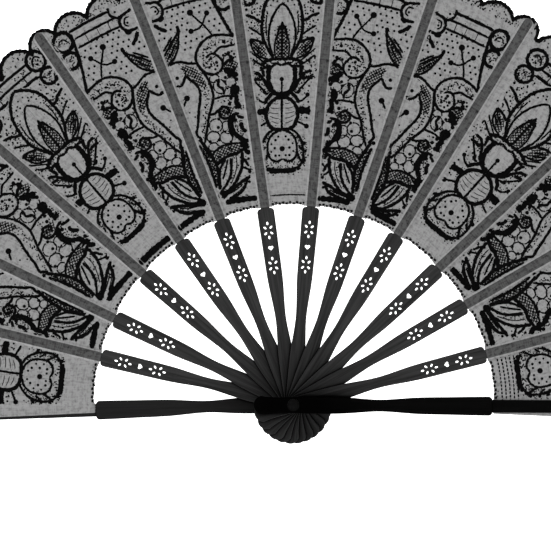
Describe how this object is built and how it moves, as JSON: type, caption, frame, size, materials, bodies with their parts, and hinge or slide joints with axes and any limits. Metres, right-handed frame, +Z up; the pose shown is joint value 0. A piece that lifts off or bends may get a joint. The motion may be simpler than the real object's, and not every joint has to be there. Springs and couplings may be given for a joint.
{
  "type": "folding hand fan",
  "caption": "Folding hand fan with a pleated lace leaf on pierced wooden sticks that turn on a rivet between guards.",
  "frame": {"origin": "on the rivet's axis, midway along the stack of sticks", "axes": "the fan stands open in the XZ plane with its front facing -Y; +Z up, through the middle of the opened leaf; +X to the right, where the front guard points"},
  "size_m": [0.4225, 0.0212, 0.2292],
  "materials": {
    "stick_wood": "charcoal stain, low sheen",
    "front_guard_wood": "black lacquer",
    "rear_guard_wood": "black stain, low sheen",
    "lace_leaf": "fine weave with corded black lace",
    "rib_tape": "pressed over the rib",
    "rivet_metal": "black"
  },
  "bodies": {
    "rear_guard": {"rear_guard": "rear_guard_wood", "leaf_panel_00": "lace_leaf", "rivet_pin": "rivet_metal", "rivet_washer_front": "rivet_metal", "rivet_washer_rear": "rivet_metal"},
    "leaf_pleat_01": {"leaf_pleat_01": "lace_leaf"},
    "stick_01": {"stick_01": "stick_wood", "rib_tape_01": "rib_tape", "leaf_panel_01": "lace_leaf"},
    "leaf_pleat_02": {"leaf_pleat_02": "lace_leaf"},
    "stick_02": {"stick_02": "stick_wood", "rib_tape_02": "rib_tape", "leaf_panel_02": "lace_leaf"},
    "leaf_pleat_03": {"leaf_pleat_03": "lace_leaf"},
    "stick_03": {"stick_03": "stick_wood", "rib_tape_03": "rib_tape", "leaf_panel_03": "lace_leaf"},
    "leaf_pleat_04": {"leaf_pleat_04": "lace_leaf"},
    "stick_04": {"stick_04": "stick_wood", "rib_tape_04": "rib_tape", "leaf_panel_04": "lace_leaf"},
    "leaf_pleat_05": {"leaf_pleat_05": "lace_leaf"},
    "stick_05": {"stick_05": "stick_wood", "rib_tape_05": "rib_tape", "leaf_panel_05": "lace_leaf"},
    "leaf_pleat_06": {"leaf_pleat_06": "lace_leaf"},
    "stick_06": {"stick_06": "stick_wood", "rib_tape_06": "rib_tape", "leaf_panel_06": "lace_leaf"},
    "leaf_pleat_07": {"leaf_pleat_07": "lace_leaf"},
    "stick_07": {"stick_07": "stick_wood", "rib_tape_07": "rib_tape", "leaf_panel_07": "lace_leaf"},
    "leaf_pleat_08": {"leaf_pleat_08": "lace_leaf"},
    "stick_08": {"stick_08": "stick_wood", "rib_tape_08": "rib_tape", "leaf_panel_08": "lace_leaf"},
    "leaf_pleat_09": {"leaf_pleat_09": "lace_leaf"},
    "stick_09": {"stick_09": "stick_wood", "rib_tape_09": "rib_tape", "leaf_panel_09": "lace_leaf"},
    "leaf_pleat_10": {"leaf_pleat_10": "lace_leaf"},
    "stick_10": {"stick_10": "stick_wood", "rib_tape_10": "rib_tape", "leaf_panel_10": "lace_leaf"},
    "leaf_pleat_11": {"leaf_pleat_11": "lace_leaf"},
    "stick_11": {"stick_11": "stick_wood", "rib_tape_11": "rib_tape", "leaf_panel_11": "lace_leaf"},
    "leaf_pleat_12": {"leaf_pleat_12": "lace_leaf"},
    "stick_12": {"stick_12": "stick_wood", "rib_tape_12": "rib_tape", "leaf_panel_12": "lace_leaf"},
    "leaf_pleat_13": {"leaf_pleat_13": "lace_leaf"},
    "front_guard": {"front_guard": "front_guard_wood", "leaf_panel_13": "lace_leaf"}
  },
  "joints": [
    {"name": "leaf_pleat_01_turn", "type": "hinge", "parent": "rear_guard", "child": "leaf_pleat_01", "pos_m": [0, 0, 0], "axis": [0, -1, 0], "range_deg": [0, 7.8]},
    {"name": "stick_01_turn", "type": "hinge", "parent": "leaf_pleat_01", "child": "stick_01", "pos_m": [0, 0, 0], "axis": [0, -1, 0], "range_deg": [0, 7.8]},
    {"name": "leaf_pleat_02_turn", "type": "hinge", "parent": "stick_01", "child": "leaf_pleat_02", "pos_m": [0, 0, 0], "axis": [0, -1, 0], "range_deg": [0, 5.95]},
    {"name": "stick_02_turn", "type": "hinge", "parent": "leaf_pleat_02", "child": "stick_02", "pos_m": [0, 0, 0], "axis": [0, -1, 0], "range_deg": [0, 5.95]},
    {"name": "leaf_pleat_03_turn", "type": "hinge", "parent": "stick_02", "child": "leaf_pleat_03", "pos_m": [0, 0, 0], "axis": [0, -1, 0], "range_deg": [0, 7.7]},
    {"name": "stick_03_turn", "type": "hinge", "parent": "leaf_pleat_03", "child": "stick_03", "pos_m": [0, 0, 0], "axis": [0, -1, 0], "range_deg": [0, 7.7]},
    {"name": "leaf_pleat_04_turn", "type": "hinge", "parent": "stick_03", "child": "leaf_pleat_04", "pos_m": [0, 0, 0], "axis": [0, -1, 0], "range_deg": [0, 7.15]},
    {"name": "stick_04_turn", "type": "hinge", "parent": "leaf_pleat_04", "child": "stick_04", "pos_m": [0, 0, 0], "axis": [0, -1, 0], "range_deg": [0, 7.15]},
    {"name": "leaf_pleat_05_turn", "type": "hinge", "parent": "stick_04", "child": "leaf_pleat_05", "pos_m": [0, 0, 0], "axis": [0, -1, 0], "range_deg": [0, 6.65]},
    {"name": "stick_05_turn", "type": "hinge", "parent": "leaf_pleat_05", "child": "stick_05", "pos_m": [0, 0, 0], "axis": [0, -1, 0], "range_deg": [0, 6.65]},
    {"name": "leaf_pleat_06_turn", "type": "hinge", "parent": "stick_05", "child": "leaf_pleat_06", "pos_m": [0, 0, 0], "axis": [0, -1, 0], "range_deg": [0, 6.65]},
    {"name": "stick_06_turn", "type": "hinge", "parent": "leaf_pleat_06", "child": "stick_06", "pos_m": [0, 0, 0], "axis": [0, -1, 0], "range_deg": [0, 6.65]},
    {"name": "leaf_pleat_07_turn", "type": "hinge", "parent": "stick_06", "child": "leaf_pleat_07", "pos_m": [0, 0, 0], "axis": [0, -1, 0], "range_deg": [0, 6.65]},
    {"name": "stick_07_turn", "type": "hinge", "parent": "leaf_pleat_07", "child": "stick_07", "pos_m": [0, 0, 0], "axis": [0, -1, 0], "range_deg": [0, 6.65]},
    {"name": "leaf_pleat_08_turn", "type": "hinge", "parent": "stick_07", "child": "leaf_pleat_08", "pos_m": [0, 0, 0], "axis": [0, -1, 0], "range_deg": [0, 6.9]},
    {"name": "stick_08_turn", "type": "hinge", "parent": "leaf_pleat_08", "child": "stick_08", "pos_m": [0, 0, 0], "axis": [0, -1, 0], "range_deg": [0, 6.9]},
    {"name": "leaf_pleat_09_turn", "type": "hinge", "parent": "stick_08", "child": "leaf_pleat_09", "pos_m": [0, 0, 0], "axis": [0, -1, 0], "range_deg": [0, 6.3]},
    {"name": "stick_09_turn", "type": "hinge", "parent": "leaf_pleat_09", "child": "stick_09", "pos_m": [0, 0, 0], "axis": [0, -1, 0], "range_deg": [0, 6.3]},
    {"name": "leaf_pleat_10_turn", "type": "hinge", "parent": "stick_09", "child": "leaf_pleat_10", "pos_m": [0, 0, 0], "axis": [0, -1, 0], "range_deg": [0, 7.6]},
    {"name": "stick_10_turn", "type": "hinge", "parent": "leaf_pleat_10", "child": "stick_10", "pos_m": [0, 0, 0], "axis": [0, -1, 0], "range_deg": [0, 7.6]},
    {"name": "leaf_pleat_11_turn", "type": "hinge", "parent": "stick_10", "child": "leaf_pleat_11", "pos_m": [0, 0, 0], "axis": [0, -1, 0], "range_deg": [0, 6.55]},
    {"name": "stick_11_turn", "type": "hinge", "parent": "leaf_pleat_11", "child": "stick_11", "pos_m": [0, 0, 0], "axis": [0, -1, 0], "range_deg": [0, 6.55]},
    {"name": "leaf_pleat_12_turn", "type": "hinge", "parent": "stick_11", "child": "leaf_pleat_12", "pos_m": [0, 0, 0], "axis": [0, -1, 0], "range_deg": [0, 7.65]},
    {"name": "stick_12_turn", "type": "hinge", "parent": "leaf_pleat_12", "child": "stick_12", "pos_m": [0, 0, 0], "axis": [0, -1, 0], "range_deg": [0, 7.65]},
    {"name": "leaf_pleat_13_turn", "type": "hinge", "parent": "stick_12", "child": "leaf_pleat_13", "pos_m": [0, 0, 0], "axis": [0, -1, 0], "range_deg": [0, 7.55]},
    {"name": "front_guard_turn", "type": "hinge", "parent": "leaf_pleat_13", "child": "front_guard", "pos_m": [0, 0, 0], "axis": [0, -1, 0], "range_deg": [0, 7.55]}
  ],
  "couplings": [
    {"joint": "stick_01_turn", "follows": "leaf_pleat_01_turn", "ratio": 1},
    {"joint": "leaf_pleat_02_turn", "follows": "leaf_pleat_01_turn", "ratio": 0.76282},
    {"joint": "stick_02_turn", "follows": "leaf_pleat_01_turn", "ratio": 0.76282},
    {"joint": "leaf_pleat_03_turn", "follows": "leaf_pleat_01_turn", "ratio": 0.98718},
    {"joint": "stick_03_turn", "follows": "leaf_pleat_01_turn", "ratio": 0.98718},
    {"joint": "leaf_pleat_04_turn", "follows": "leaf_pleat_01_turn", "ratio": 0.91667},
    {"joint": "stick_04_turn", "follows": "leaf_pleat_01_turn", "ratio": 0.91667},
    {"joint": "leaf_pleat_05_turn", "follows": "leaf_pleat_01_turn", "ratio": 0.85256},
    {"joint": "stick_05_turn", "follows": "leaf_pleat_01_turn", "ratio": 0.85256},
    {"joint": "leaf_pleat_06_turn", "follows": "leaf_pleat_01_turn", "ratio": 0.85256},
    {"joint": "stick_06_turn", "follows": "leaf_pleat_01_turn", "ratio": 0.85256},
    {"joint": "leaf_pleat_07_turn", "follows": "leaf_pleat_01_turn", "ratio": 0.85256},
    {"joint": "stick_07_turn", "follows": "leaf_pleat_01_turn", "ratio": 0.85256},
    {"joint": "leaf_pleat_08_turn", "follows": "leaf_pleat_01_turn", "ratio": 0.88462},
    {"joint": "stick_08_turn", "follows": "leaf_pleat_01_turn", "ratio": 0.88462},
    {"joint": "leaf_pleat_09_turn", "follows": "leaf_pleat_01_turn", "ratio": 0.80769},
    {"joint": "stick_09_turn", "follows": "leaf_pleat_01_turn", "ratio": 0.80769},
    {"joint": "leaf_pleat_10_turn", "follows": "leaf_pleat_01_turn", "ratio": 0.97436},
    {"joint": "stick_10_turn", "follows": "leaf_pleat_01_turn", "ratio": 0.97436},
    {"joint": "leaf_pleat_11_turn", "follows": "leaf_pleat_01_turn", "ratio": 0.83974},
    {"joint": "stick_11_turn", "follows": "leaf_pleat_01_turn", "ratio": 0.83974},
    {"joint": "leaf_pleat_12_turn", "follows": "leaf_pleat_01_turn", "ratio": 0.98077},
    {"joint": "stick_12_turn", "follows": "leaf_pleat_01_turn", "ratio": 0.98077},
    {"joint": "leaf_pleat_13_turn", "follows": "leaf_pleat_01_turn", "ratio": 0.96795},
    {"joint": "front_guard_turn", "follows": "leaf_pleat_01_turn", "ratio": 0.96795}
  ]
}
